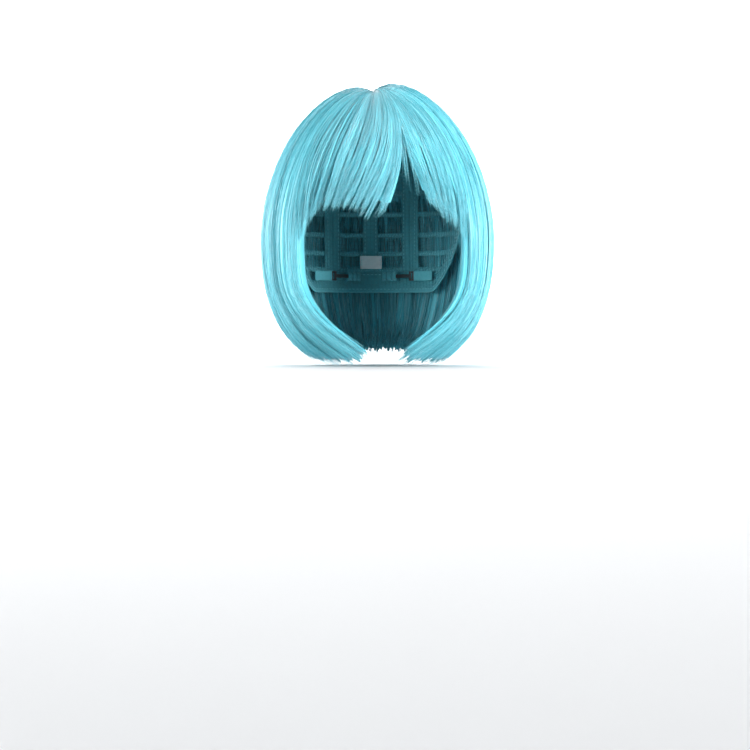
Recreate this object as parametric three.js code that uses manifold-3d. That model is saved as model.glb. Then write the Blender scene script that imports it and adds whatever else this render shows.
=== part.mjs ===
// A costume wig: a chin-length bob with a full fringe, sewn on a machine-made weft cap.
// Millimetres, +Z up, the face towards -Y, and the wearer's left towards +X.
// The origin is the middle of the head that wears it, level with the tops of the ears.
//
// The cap is built in layers that lie on an ellipsoid, the head: the net is the innermost, the
// bands and ribs are sewn over it, and the weft tracks over those. The hair lies over the tracks.

import * as THREE from "three";
import { mergeVertices } from "three/addons/utils/BufferGeometryUtils.js";
import Module from "manifold-3d";

const wasm = await Module();
wasm.setup();

// ---------------------------------------------------------------- driving dimensions

// The head: half its width and length at the level of the ears, and its height above them.
const headHalfWidth = 75;
const headHalfLength = 96;
const headCrown = 100;

// How far the combed hair stands out from the head.
const hairAtSide = 20;
const hairAtFront = 16;
const hairAtBack = 22;
const hairAtTop = 12;

// The hair is widest a little below the ears, and tucks in to its bottom edge, where it is
// this share of its widest.
const widestLevel = -17;
const hairBottom = -118;
const tuckedTo = 0.56;

// Thickness of the hanging hair, at the sides, the forehead and the back.
const sideThickness = 14.5;
const fringeThickness = 12;
const backThickness = 18;
const tipTaper = 4;

// The face opening: the level of the fringe's tips, and half the opening's width on its way
// down to the chin, as [level, half width].
const fringeTips = 3;
const openingEdge = [
  [-24, 61],
  [-50, 56],
  [-76, 48],
  [-96, 36],
  [-109, 17],
];

// The parting, off centre to the wearer's right, and the gap in the fringe to the left of it.
const partingX = -3;
const partingDepth = 7;
const partingHalfWidth = 5;
const fringeHalfWidth = 58;
const gapApex = [26, 56];
const gapFeet = [9, 48];

// Where the hair starts to swing: how far behind the middle of the head the fringe lifts from,
// and the levels that the sides and the back swing from.
const fringeLiftY = -45;
const sideSwingLevel = 74;
const backSwingLevel = 88;
const backStartsAt = 35;
const middleTopLevel = 40;
const napeTopLevel = -15;

// The onion layers of the hanging hair.
const outerLayer = 6.5;
const middleLayer = 6;

// The cap's rim, as polar angles from the crown: at the forehead, over the ear and at the nape.
const foreheadRim = 52;
const earRim = 75;
const napeRim = 125;

// The cap's cloth and its seams. The inner trims hang clear of the net by their own clearance.
const netThickness = 0.6;
const trimClearance = 1.6;
const bandThickness = 0.8;
const trackThickness = 1.0;
const bandWidth = 11;
const napeBandWidth = 20;
const ribWidth = 13;
const ribSpacing = 33;
const trackHeight = 4;
const seam = 0.3;
const hairClearance = 1.1;

// Parting skin: the coated patch that the parting's hair is knotted into.
const skinWidth = 34;
const skinLength = 74;
const skinThickness = 0.5;

// Weft tracks round the back, as polar angles, and the two over the forehead.
const backTrackPolars = [46, 56, 66, 76, 86, 96, 105, 113];
const fringeTrackPolars = [31, 42];
const fringeTrackReach = 46;
const backTrackStart = 51;

// Ear tabs, with a bendable stay in a channel.
const tabAzimuth = 70;
const tabLength = 38;
const tabWidth = 24;
const tabThickness = 2.2;
const stayLength = 30;
const stayWidth = 4;
const stayThickness = 0.6;
const stayClearance = 0.3;

// Nape adjusters: an elastic strap, a hook and a row of pockets, on a chord inside the nape.
const adjusterLevel = -44;
const adjusterFrom = 128;
const strapLength = 18;
const strapHeight = 8;
const strapThickness = 0.8;
const hookBodyLength = 5;
const hookTongueHeight = 3;
const hookThickness = 1.1;
const hookTravel = 12;
const hookGrip = 2.5;
const hookLoopLength = 1.6;
const hookLoopRim = 1.5;
const pocketCount = 3;
const pocketPitch = 5;
const pocketWidth = 3;
const pocketWall = 0.6;
const pocketClearance = 0.35;

// Care label, sewn in above the nape band.
const labelWidth = 20;
const labelHeight = 12;
const labelThickness = 0.4;

// ---------------------------------------------------------------- worked out from them

const bandOffset = netThickness + seam;
const trackOffset = bandOffset + bandThickness + seam;
const capThickness = trackOffset + trackThickness;
const hairOffset = capThickness + hairClearance;

const hairDrop = (widestLevel - hairBottom) / Math.sqrt(1 - tuckedTo ** 2);
const outerEgg = {
  side: headHalfWidth + hairAtSide,
  front: headHalfLength + hairAtFront,
  back: headHalfLength + hairAtBack,
  up: headCrown + hairAtTop - widestLevel,
  down: hairDrop,
};
const innerEgg = {
  side: outerEgg.side - sideThickness,
  front: outerEgg.front - fringeThickness,
  back: outerEgg.back - backThickness,
  up: headCrown - widestLevel,
  down: outerEgg.down - tipTaper,
};

const far = 400;
const degrees = Math.PI / 180;
const roundSteps = 32;
const levelSteps = 22;

// ---------------------------------------------------------------- solids and geometries

function solidOf(geometry) {
  const bare = geometry.index ? geometry.toNonIndexed() : geometry.clone();
  bare.deleteAttribute("normal");
  bare.deleteAttribute("uv");
  const merged = mergeVertices(bare, 1e-4);
  const mesh = new wasm.Mesh({
    numProp: 3,
    vertProperties: merged.attributes.position.array,
    triVerts: new Uint32Array(merged.index.array),
  });
  return new wasm.Manifold(mesh);
}

function geometryOf(solid) {
  const mesh = solid.getMesh();
  const geometry = new THREE.BufferGeometry();
  geometry.setAttribute("position", new THREE.BufferAttribute(mesh.vertProperties, 3));
  geometry.setIndex(new THREE.BufferAttribute(mesh.triVerts, 1));
  return geometry;
}

// Moves every vertex of a geometry to where shape(x, y, z) says.
function bent(geometry, shape) {
  const position = geometry.attributes.position;
  for (let i = 0; i < position.count; i++) {
    const place = shape(position.getX(i), position.getY(i), position.getZ(i));
    position.setXYZ(i, place.x, place.y, place.z);
  }
  geometry.computeVertexNormals();
  return geometry;
}

// The same piece on the wearer's right: mirrored in X, with its faces turned back outwards.
function mirrored(geometry) {
  const flat = geometry.index ? geometry.toNonIndexed() : geometry.clone();
  flat.scale(-1, 1, 1);
  const position = flat.attributes.position;
  for (let i = 0; i < position.count; i += 3) {
    const second = new THREE.Vector3().fromBufferAttribute(position, i + 1);
    const third = new THREE.Vector3().fromBufferAttribute(position, i + 2);
    position.setXYZ(i + 1, third.x, third.y, third.z);
    position.setXYZ(i + 2, second.x, second.y, second.z);
  }
  flat.computeVertexNormals();
  return flat;
}

// Everything on the side of a plane that its normal points to, less half a seam.
function beyond(point, normal) {
  const direction = normal.clone().normalize();
  const block = new THREE.BoxGeometry(2 * far, 2 * far, 2 * far);
  block.translate(0, 0, far + seam / 2);
  const turn = new THREE.Quaternion().setFromUnitVectors(new THREE.Vector3(0, 0, 1), direction);
  block.applyQuaternion(turn);
  block.translate(point.x, point.y, point.z);
  return solidOf(block);
}

// ---------------------------------------------------------------- the head and the cap's rim

// Azimuth 0 is the forehead and 90 the wearer's left ear; polar 0 is the crown.
function onHead(azimuth, polar, offset) {
  const ring = Math.sin(polar * degrees);
  return new THREE.Vector3(
    (headHalfWidth + offset) * ring * Math.sin(azimuth * degrees),
    -(headHalfLength + offset) * ring * Math.cos(azimuth * degrees),
    (headCrown + offset) * Math.cos(polar * degrees),
  );
}

function rimPolar(azimuth) {
  const round = Math.abs(((azimuth + 540) % 360) - 180);
  const toEar = THREE.MathUtils.smoothstep(round, 20, 75);
  const toNape = THREE.MathUtils.smoothstep(round, 95, 130);
  return foreheadRim + (earRim - foreheadRim) * toEar + (napeRim - earRim) * toNape;
}

// A patch of cloth on the head: azimuths from and to, and a reach in millimetres above an edge.
function capBand({ from, to, edge, width, offset, thickness, stride = 9 }) {
  const steps = Math.ceil((to - from) / stride);
  const rows = Math.ceil(width / 10);
  const box = new THREE.BoxGeometry(to - from, width, thickness, steps, rows, 1);
  box.translate((from + to) / 2, width / 2, offset + thickness / 2);
  return bent(box, (azimuth, above, out) => {
    const polar = edge(azimuth) - above / headCrown / degrees;
    return onHead(azimuth, polar, out);
  });
}

// ---------------------------------------------------------------- cap pieces

// Everything above the cap's rim: a fan from the middle of the head, past the rim and over it.
function aboveRim() {
  const rings = 10;
  const reach = 3;
  const profile = [new THREE.Vector2(0, 0)];
  for (let i = rings; i >= 0; i--) profile.push(new THREE.Vector2(i / rings, reach));
  const fan = new THREE.LatheGeometry(profile, roundSteps);
  return solidOf(bent(fan, (x, scale, z) => {
    const azimuth = Math.atan2(x, z) / degrees;
    const polar = Math.hypot(x, z) * rimPolar(azimuth);
    return onHead(azimuth, polar, 0).multiplyScalar(scale);
  }));
}

// The net is cut in three panels, which meet under the outer ribs.
function netPanels() {
  const sheet = headSolid(netThickness).subtract(headSolid(0)).intersect(aboveRim());
  const cut = new THREE.Vector3(ribSpacing, 0, 0);
  const opposite = cut.clone().negate();
  const middle = sheet.intersect(beyond(cut, opposite)).intersect(beyond(opposite, cut));
  return {
    crown_net: geometryOf(middle),
    side_net_left: geometryOf(sheet.intersect(beyond(cut, cut))),
    side_net_right: geometryOf(sheet.intersect(beyond(opposite, opposite))),
  };
}

// The skin lies over the ribs, so it takes the tracks' layer.
function partingSkin() {
  const box = new THREE.BoxGeometry(skinWidth, skinLength, skinThickness, 6, 10, 1);
  box.translate(partingX, 0, trackOffset + skinThickness / 2);
  return bent(box, (x, y, out) => {
    const wide = headHalfWidth + out;
    const long = headHalfLength + out;
    const height = (headCrown + out) * Math.sqrt(1 - (x / wide) ** 2 - (y / long) ** 2);
    return new THREE.Vector3(x, y, height);
  });
}

// A rib runs over the head in a plane of constant X, between the front and the nape bands.
function rib(x) {
  const middle = bandOffset + bandThickness / 2;
  const box = new THREE.BoxGeometry(ribWidth, 1, bandThickness, 2, 28, 1);
  box.translate(x, 0, middle);
  const section = Math.sqrt(1 - (x / headHalfWidth) ** 2);
  const azimuthAtRim = Math.asin(Math.abs(x) / headHalfWidth) / degrees;
  const frontPolar = rimPolar(azimuthAtRim) - (bandWidth + 2) / headCrown / degrees;
  const napePolar = rimPolar(180 - azimuthAtRim) - (napeBandWidth + 2) / headCrown / degrees;
  const start = Math.asin(Math.min(1, Math.cos(frontPolar * degrees) / section));
  const end = Math.PI - Math.asin(Math.cos(napePolar * degrees) / section);
  return bent(box, (across, along, out) => {
    const turn = start + (along + 0.5) * (end - start);
    const wide = headHalfWidth + out;
    const share = Math.sqrt(1 - (across / wide) ** 2);
    return new THREE.Vector3(
      across,
      -(headHalfLength + out) * share * Math.cos(turn),
      (headCrown + out) * share * Math.sin(turn),
    );
  });
}

function rimBand(from, to, width) {
  const thickness = bandThickness;
  return capBand({ from, to, edge: rimPolar, width, offset: bandOffset, thickness, stride: 3 });
}

function track(polar, from, to) {
  const edge = () => polar;
  const thickness = trackThickness;
  return capBand({ from, to, edge, width: trackHeight, offset: trackOffset, thickness });
}

// A track round the back starts where the rim leaves room for it above the band.
function backTrack(polar) {
  let start = backTrackStart;
  while (rimPolar(start) < polar + bandWidth / headCrown / degrees / 2) start += 1;
  return track(polar, start, 360 - start);
}

function sizeLabel() {
  const edge = () => napeRim - (napeBandWidth + 2) / headCrown / degrees;
  const halfAngle = labelWidth / 2 / headHalfWidth / degrees;
  return capBand({
    from: 180 - halfAngle,
    to: 180 + halfAngle,
    edge,
    width: labelHeight,
    offset: -labelThickness - trimClearance,
    thickness: labelThickness,
  });
}

// ---------------------------------------------------------------- ear tabs

// A tab is flat, hangs from its top edge at the origin of its own frame, and faces +Z there.
const stayChannel = {
  length: stayLength + stayClearance,
  width: stayWidth + 2 * stayClearance,
  thickness: stayThickness + 2 * stayClearance,
};

function tabBlank() {
  const half = tabWidth / 2;
  const shoulder = tabLength - half;
  const outline = new THREE.Shape();
  outline.moveTo(half, 0);
  outline.lineTo(half * 0.9, -shoulder);
  outline.quadraticCurveTo(half * 0.8, -tabLength, 0, -tabLength);
  outline.quadraticCurveTo(-half * 0.8, -tabLength, -half * 0.9, -shoulder);
  outline.lineTo(-half, 0);
  outline.closePath();
  const settings = { depth: tabThickness, bevelEnabled: false, curveSegments: 8 };
  const blank = new THREE.ExtrudeGeometry(outline, settings);
  const slot = new THREE.BoxGeometry(
    stayChannel.width,
    2 * stayChannel.length,
    stayChannel.thickness,
  );
  slot.translate(0, 0, tabThickness / 2);
  return geometryOf(solidOf(blank).subtract(solidOf(slot)));
}

function stayBlank() {
  const stay = new THREE.BoxGeometry(stayWidth, stayLength, stayThickness, 1, 1, 1);
  stay.translate(0, -stayLength / 2, tabThickness / 2);
  return stay;
}

// The tab's top edge sits just under the rim, inside the band's line, and faces outwards there.
const tabTop = onHead(tabAzimuth, rimPolar(tabAzimuth), 0);
tabTop.z -= seam + bandThickness;
const tabFoot = onHead(tabAzimuth, 95, 0);
const tabLean = Math.atan2(tabFoot.x - tabTop.x, tabTop.z - tabFoot.z);
const tabTurn = Math.atan2(tabTop.x / headHalfWidth ** 2, -tabTop.y / headHalfLength ** 2);

function onTemple(blank) {
  blank.rotateX(Math.PI / 2 - tabLean);
  blank.rotateZ(tabTurn);
  blank.translate(tabTop.x, tabTop.y, tabTop.z);
  return blank;
}

// ---------------------------------------------------------------- nape adjusters

// The wearer's left adjuster lies along a chord of the nape. In its own frame X runs along the
// chord from the strap's sewn end, Y is up, and Z points back, towards the nape band.
const adjusterFoot = adjusterLevel - strapHeight / 2;
const napeShare = Math.sqrt(1 - (adjusterFoot / headCrown) ** 2);
const tunnelDepth = hookThickness + 2 * pocketClearance;
const napeInset = trimClearance + (tunnelDepth - strapThickness) / 2 + pocketWall;

function onNape(azimuth) {
  const wide = headHalfWidth * napeShare - napeInset;
  const long = headHalfLength * napeShare - napeInset;
  const turn = azimuth * degrees;
  return new THREE.Vector3(wide * Math.sin(turn), -long * Math.cos(turn), adjusterLevel);
}

const hookStart = strapLength + seam;
const tongueStart = hookStart + hookBodyLength;
const tongueLength = hookTravel + seam + hookGrip;
const pocketsStart = tongueStart + hookTravel + seam;
const adjusterLength = pocketsStart + pocketCount * pocketPitch;

const chordStart = onNape(adjusterFrom);
let adjusterTo = adjusterFrom;
while (chordStart.distanceTo(onNape(adjusterTo)) < adjusterLength) adjusterTo += 0.5;
const chordEnd = onNape(adjusterTo);
const chordTurn = Math.atan2(chordEnd.y - chordStart.y, chordEnd.x - chordStart.x);

function alongChord(piece) {
  const frame = new THREE.Matrix4().makeBasis(
    new THREE.Vector3(Math.cos(chordTurn), Math.sin(chordTurn), 0),
    new THREE.Vector3(0, 0, 1),
    new THREE.Vector3(Math.sin(chordTurn), -Math.cos(chordTurn), 0),
  );
  piece.applyMatrix4(frame);
  piece.translate(chordStart.x, chordStart.y, chordStart.z);
  return piece;
}

function block(length, height, thickness, fromX, middleZ) {
  const box = new THREE.BoxGeometry(length, height, thickness);
  box.translate(fromX + length / 2, 0, middleZ);
  return box;
}

const strapMiddle = -strapThickness / 2;

function strap() {
  return alongChord(new THREE.BoxGeometry(strapLength, strapHeight, strapThickness, 4, 1, 1)
    .translate(strapLength / 2, 0, strapMiddle));
}

// The hook is a square body, which the strap is sewn through, and a tongue for the pockets.
function hook() {
  const body = solidOf(block(hookBodyLength, strapHeight, hookThickness, hookStart, strapMiddle));
  const overlap = 1;
  const tongueBlock = block(
    tongueLength + overlap,
    hookTongueHeight,
    hookThickness,
    tongueStart - overlap,
    strapMiddle,
  );
  const loopHeight = strapHeight - 2 * hookLoopRim;
  const loopStart = hookStart + hookLoopRim;
  const loop = block(hookLoopLength, loopHeight, 3 * hookThickness, loopStart, strapMiddle);
  const solid = body.add(solidOf(tongueBlock)).subtract(solidOf(loop));
  return alongChord(geometryOf(solid));
}

// One tape with a row of pockets standing off it; the tongue slides through them.
function pockets() {
  const tunnelHeight = hookTongueHeight + 2 * pocketClearance;
  const outside = tunnelHeight + 2 * pocketWall;
  const length = pocketCount * pocketPitch;
  const tapeMiddle = strapMiddle + tunnelDepth / 2 + pocketWall / 2;
  let solid = solidOf(block(length, strapHeight, pocketWall, pocketsStart, tapeMiddle));
  for (let i = 0; i < pocketCount; i++) {
    const at = pocketsStart + i * pocketPitch;
    const wall = tunnelDepth + 1.5 * pocketWall;
    const middle = strapMiddle - pocketWall / 4;
    solid = solid.add(solidOf(block(pocketWidth, outside, wall, at, middle)));
  }
  const tunnel = block(length + 2, tunnelHeight, tunnelDepth, pocketsStart - 1, strapMiddle);
  return alongChord(geometryOf(solid.subtract(solidOf(tunnel))));
}

// ---------------------------------------------------------------- hair

// An egg of hair: an ellipsoid whose front, back, top and bottom have their own half axes.
function eggSolid(axes, shrink = 0) {
  const ball = new THREE.SphereGeometry(1, roundSteps, levelSteps);
  return solidOf(bent(ball, (x, y, z) => {
    const depth = z > 0 ? axes.front : axes.back;
    const height = y > 0 ? axes.up : axes.down;
    return new THREE.Vector3(
      x * (axes.side - shrink),
      -z * (depth - shrink),
      y * (height - shrink) + widestLevel,
    );
  }));
}

function headSolid(offset) {
  const ball = new THREE.SphereGeometry(1, roundSteps, levelSteps);
  return solidOf(bent(ball, (x, y, z) => new THREE.Vector3(
    x * (headHalfWidth + offset),
    -z * (headHalfLength + offset),
    y * (headCrown + offset),
  )));
}

function levelOnEgg(x, y) {
  const depth = y < 0 ? outerEgg.front : outerEgg.back;
  const rest = 1 - (x / outerEgg.side) ** 2 - (y / depth) ** 2;
  return widestLevel + outerEgg.up * Math.sqrt(rest);
}

// A shape drawn in the front view, as [x, level] points, run through the front of the head.
function frontCutter(points, depth) {
  const shape = new THREE.Shape(points.map(([x, level]) => new THREE.Vector2(x, level)));
  const prism = new THREE.ExtrudeGeometry(shape, { depth, bevelEnabled: false });
  prism.rotateX(Math.PI / 2);
  return solidOf(prism);
}

function faceOpening() {
  const edge = new THREE.SplineCurve(
    openingEdge.map(([level, half]) => new THREE.Vector2(half, level)),
  ).getPoints(12);
  const top = edge[0].x;
  const foot = edge[edge.length - 1].x;
  const right = [[top, fringeTips], ...edge.map((p) => [p.x, p.y]), [foot, -far]];
  const left = right.map(([x, level]) => [-x, level]).reverse();
  return frontCutter([...right, ...left], far);
}

// The fringe is in two, parted by a line from the parting that opens into a gap.
function fringeSplit() {
  const half = seam / 2;
  const [apexX, apexLevel] = gapApex;
  return frontCutter(
    [
      [partingX - half, far],
      [apexX - half, apexLevel],
      [gapFeet[0], fringeTips],
      [gapFeet[0], -far],
      [gapFeet[1], -far],
      [gapFeet[1], fringeTips],
      [apexX + half, apexLevel],
      [partingX + half, far],
    ],
    far,
  );
}

function partingGroove() {
  const bottom = levelOnEgg(0, 0) - partingDepth;
  const notch = new THREE.Shape([
    new THREE.Vector2(partingX, bottom),
    new THREE.Vector2(partingX + partingHalfWidth, bottom + partingDepth + 1),
    new THREE.Vector2(partingX - partingHalfWidth, bottom + partingDepth + 1),
  ]);
  const prism = new THREE.ExtrudeGeometry(notch, { depth: 2 * far, bevelEnabled: false });
  prism.translate(0, 0, -far);
  prism.rotateX(Math.PI / 2);
  return solidOf(prism);
}

function hairSections() {
  const point = (x, y, z) => new THREE.Vector3(x, y, z);
  const cavity = headSolid(hairOffset).add(eggSolid(innerEgg));
  const aboveFloor = beyond(point(0, 0, hairBottom), point(0, 0, 1));
  const shell = eggSolid(outerEgg)
    .subtract(cavity)
    .intersect(aboveFloor)
    .subtract(faceOpening())
    .subtract(partingGroove());

  const side = {
    level: sideSwingLevel,
    x: outerEgg.side * Math.sqrt(1 - ((sideSwingLevel - widestLevel) / outerEgg.up) ** 2),
  };
  const back = {
    level: backSwingLevel,
    y: outerEgg.back * Math.sqrt(1 - ((backSwingLevel - widestLevel) / outerEgg.up) ** 2),
  };
  const fringe = { y: fringeLiftY, level: levelOnEgg(0, fringeLiftY) };

  // Each swinging part lies beyond a plane through its hinge line and the middle of the head.
  const origin = point(0, 0, 0);
  const towards = {
    left: point(side.level, 0, -side.x),
    right: point(-side.level, 0, -side.x),
    back: point(0, back.level, -back.y),
    fringe: point(0, -fringe.level, fringe.y),
  };
  const under = (name) => beyond(origin, towards[name]);
  const above = (name) => beyond(origin, towards[name].clone().negate());
  const before = beyond(point(0, backStartsAt, 0), point(0, -1, 0));
  const behind = beyond(point(0, backStartsAt, 0), point(0, 1, 0));
  const leftOf = (x) => beyond(point(x, 0, 0), point(1, 0, 0));
  const rightOf = (x) => beyond(point(x, 0, 0), point(-1, 0, 0));

  const fringeLower = beyond(point(0, 0, fringeTips), point(0, 0, 1));
  const fringeColumn = under("fringe")
    .intersect(rightOf(fringeHalfWidth))
    .intersect(leftOf(-fringeHalfWidth))
    .intersect(beyond(point(0, 0, 0), point(0, -1, 0)))
    .intersect(fringeLower);
  const reach = fringeHalfWidth + seam / 2;
  const fringeSpace = frontCutter(
    [
      [-reach, fringeTips],
      [reach, fringeTips],
      [reach, far],
      [-reach, far],
    ],
    far,
  );
  const overFringe = above("fringe");
  const besideFringe = (solid) => solid.subtract(fringeSpace);

  const leftHalf = leftOf(0).intersect(before);
  const rightHalf = rightOf(0).intersect(before);
  const leftSide = besideFringe(shell.intersect(under("left")).intersect(leftHalf));
  const rightSide = besideFringe(shell.intersect(under("right")).intersect(rightHalf));
  const wholeBack = shell.intersect(under("back")).intersect(behind);
  const crown = shell.intersect(above("left")).intersect(above("right"));
  const crownFront = crown
    .intersect(before)
    .intersect(overFringe)
    .add(besideFringe(crown.intersect(before)));
  const crownBack = shell.intersect(above("back")).intersect(behind);
  const fringeWhole = shell.intersect(fringeColumn).subtract(fringeSplit());

  const underOuter = eggSolid(outerEgg, outerLayer + seam);
  const outerOnly = (solid) => solid.subtract(eggSolid(outerEgg, outerLayer));
  const underMiddle = eggSolid(outerEgg, outerLayer + middleLayer + seam);
  const below = (level) => beyond(point(0, 0, level), point(0, 0, -1));
  const nape = wholeBack.intersect(underMiddle).intersect(below(napeTopLevel));
  const napeSpace = eggSolid(outerEgg, outerLayer + middleLayer).intersect(
    beyond(point(0, 0, napeTopLevel + seam), point(0, 0, -1)),
  );
  const middle = wholeBack
    .intersect(underOuter)
    .intersect(below(middleTopLevel))
    .subtract(napeSpace);

  return {
    crown_hair_left: crownFront.intersect(leftOf(partingX)),
    crown_hair_right: crownFront.intersect(rightOf(partingX)),
    crown_hair_back: crownBack,
    ...fringePair(fringeWhole),
    side_hair_left_outer: outerOnly(leftSide),
    side_hair_left_inner: leftSide.intersect(underOuter),
    side_hair_right_outer: outerOnly(rightSide),
    side_hair_right_inner: rightSide.intersect(underOuter),
    back_hair_outer: outerOnly(wholeBack),
    back_hair_middle: middle,
    back_hair_nape: nape,
  };
}

// The fringe comes out of its cut as two solids: the larger lies to the wearer's right.
function fringePair(whole) {
  const parts = whole.decompose().sort((a, b) => b.volume() - a.volume());
  return { fringe_right: parts[0], fringe_left: parts[1] };
}

// ---------------------------------------------------------------- the wig

const fibre = new THREE.MeshStandardMaterial({ color: 0x7fd4e0, roughness: 0.42 });
const net = new THREE.MeshStandardMaterial({ color: 0x3f8f9c, roughness: 0.9 });
const elastic = new THREE.MeshStandardMaterial({ color: 0x4aa3b0, roughness: 0.85 });
const skin = new THREE.MeshStandardMaterial({ color: 0xd9b79a, roughness: 0.6 });
const thread = new THREE.MeshStandardMaterial({ color: 0x5bb4c1, roughness: 0.8 });
const hookPlastic = new THREE.MeshStandardMaterial({ color: 0x2b2f33, roughness: 0.35 });
const springSteel = new THREE.MeshStandardMaterial({
  color: 0xb8bcc0,
  roughness: 0.3,
  metalness: 1,
});
const satin = new THREE.MeshStandardMaterial({ color: 0xf2f2ee, roughness: 0.4 });

const wig = new THREE.Group();

function place(name, geometry, material) {
  const mesh = new THREE.Mesh(geometry, material);
  mesh.name = name;
  wig.add(mesh);
}

function placePair(name, geometry, material) {
  place(`${name}_left`, geometry, material);
  place(`${name}_right`, mirrored(geometry), material);
}

for (const [name, panel] of Object.entries(netPanels())) place(name, panel, net);
place("parting_skin", partingSkin(), skin);
place("rib_centre", rib(0), elastic);
placePair("rib", rib(ribSpacing), elastic);
place("front_band", rimBand(-52, 52, bandWidth), elastic);
placePair("side_band", rimBand(52.4, 117.6, bandWidth), elastic);
place("nape_band", rimBand(118, 242, napeBandWidth), elastic);
fringeTrackPolars.forEach((polar, i) => {
  place(`fringe_track_${i + 1}`, track(polar, -fringeTrackReach, fringeTrackReach), thread);
});
backTrackPolars.forEach((polar, i) => {
  place(`back_track_${i + 1}`, backTrack(polar), thread);
});
placePair("ear_tab", onTemple(tabBlank()), elastic);
placePair("ear_tab_stay", onTemple(stayBlank()), springSteel);
placePair("adjuster_strap", strap(), elastic);
placePair("adjuster_hook", hook(), hookPlastic);
placePair("adjuster_pockets", pockets(), elastic);
place("size_label", sizeLabel(), satin);

for (const [name, solid] of Object.entries(hairSections())) {
  place(name, geometryOf(solid), fibre);
}

export default wig;
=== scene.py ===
"""A costume wig: a chin-length bob with a split fringe, in pale aqua fibre, on a sewn weft cap.

Metres, +Z up, the face towards -Y and the wearer's left towards +X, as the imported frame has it.
The hair is combed over an egg. A lock's place is given by the azimuth it hangs at, its turn from
the parting (0 at the parting, 90 where the hair is widest, more below) and its depth inside the
hair's outer surface.
"""

import math
from dataclasses import dataclass

import bpy
import numpy as np
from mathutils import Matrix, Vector


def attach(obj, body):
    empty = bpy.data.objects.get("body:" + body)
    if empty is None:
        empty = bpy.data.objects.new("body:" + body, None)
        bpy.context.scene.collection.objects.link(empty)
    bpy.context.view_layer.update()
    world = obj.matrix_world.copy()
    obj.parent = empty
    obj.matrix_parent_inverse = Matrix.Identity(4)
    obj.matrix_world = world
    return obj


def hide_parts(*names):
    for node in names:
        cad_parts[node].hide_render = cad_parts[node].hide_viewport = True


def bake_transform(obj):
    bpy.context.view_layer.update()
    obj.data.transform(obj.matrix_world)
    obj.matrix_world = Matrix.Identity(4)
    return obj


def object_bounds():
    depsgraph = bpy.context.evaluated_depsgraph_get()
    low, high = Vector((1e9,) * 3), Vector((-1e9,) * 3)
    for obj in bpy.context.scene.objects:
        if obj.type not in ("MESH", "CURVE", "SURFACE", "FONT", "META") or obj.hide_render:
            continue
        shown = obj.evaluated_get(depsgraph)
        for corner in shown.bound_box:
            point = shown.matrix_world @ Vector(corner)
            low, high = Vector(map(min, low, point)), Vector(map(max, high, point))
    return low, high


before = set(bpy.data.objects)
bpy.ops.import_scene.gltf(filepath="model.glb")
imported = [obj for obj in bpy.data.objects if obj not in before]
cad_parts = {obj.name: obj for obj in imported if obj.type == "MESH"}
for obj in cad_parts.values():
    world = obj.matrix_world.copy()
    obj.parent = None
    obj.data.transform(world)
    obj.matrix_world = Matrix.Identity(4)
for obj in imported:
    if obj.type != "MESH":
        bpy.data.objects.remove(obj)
cad_low, cad_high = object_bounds()

MM = 0.001

# ------------------------------------------------------------------ sizes, from the frame

EGG_SIDE = cad_high.x
EGG_BACK = cad_high.y
EGG_FRONT = EGG_BACK - 6 * MM
EGG_TOP = cad_high.z + 5 * MM
WIDEST = -17 * MM
EGG_UP = EGG_TOP - WIDEST
EGG_DOWN = 116.5 * MM
CROWN_POWER = 1.9
HANGING_POWER = 2.3
FULLER_LEFT = 1.5 * MM
TIPS = cad_low.z

PARTING_X = -3 * MM
PARTING_FRONT = -30 * MM
PARTING_BACK = 36 * MM
PARTING_DIP = 9 * MM
PARTING_SOFTNESS = 8.5
LOWER_LOBE = 1.8 * MM
LOBE_REACH = 30

# The dip at the parting gets this much shallower towards its two ends, between these places.
DIP_LOST = 0.45
DIP_FADES_FROM = 18 * MM
DIP_FADED_AT = 33 * MM

# How wide each section of hair is, round the egg.
FRINGE_ARC = 0.085
FRINGE_LEFT_ARC = 0.044
WISP_ARC = 0.008
SIDE_ARC = 0.130
BACK_ARC = 0.290

HEAD_SIDE = 75 * MM
HEAD_LONG = 96 * MM
HEAD_TOP = 100 * MM

# Azimuths, in degrees from the face: where the curtains start, and where the back takes over.
CURTAIN_START = 47.0
CURTAIN_END = 107.0
CURTAIN_SWING = 34.0

# The curtain's front edge swings in under the chin: from this share of its fall, over this much
# of it, how late the swing comes and how soon it is lost away from the edge.
SWING_FROM = 0.25
SWING_OVER = 0.54
SWING_LATENESS = 2.1
SWING_LOSS = 1.6
FRONT_TIPS_RISE = 8 * MM
REAR_TIPS_RISE = 6 * MM
BACK_TIPS_RISE = 7 * MM

# The fringe bends from its upper azimuths to its lower ones over these turns.
FRINGE_BENDS_FROM = 28
FRINGE_BENDS_OVER = 48
FRINGE_ROOT = PARTING_FRONT - 2 * MM

random = np.random.default_rng(20)


# ------------------------------------------------------------------ the egg and the combing


def smooth(value, low, high):
    t = np.clip((value - low) / (high - low), 0, 1)
    return t * t * (3 - 2 * t)


def egg_axes(azimuth_cos, depth):
    """Half axes across and along, for points in front of the ears (cos > 0) and behind them."""
    along = np.where(azimuth_cos > 0, EGG_FRONT, EGG_BACK)
    return EGG_SIDE - depth, along - depth


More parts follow.
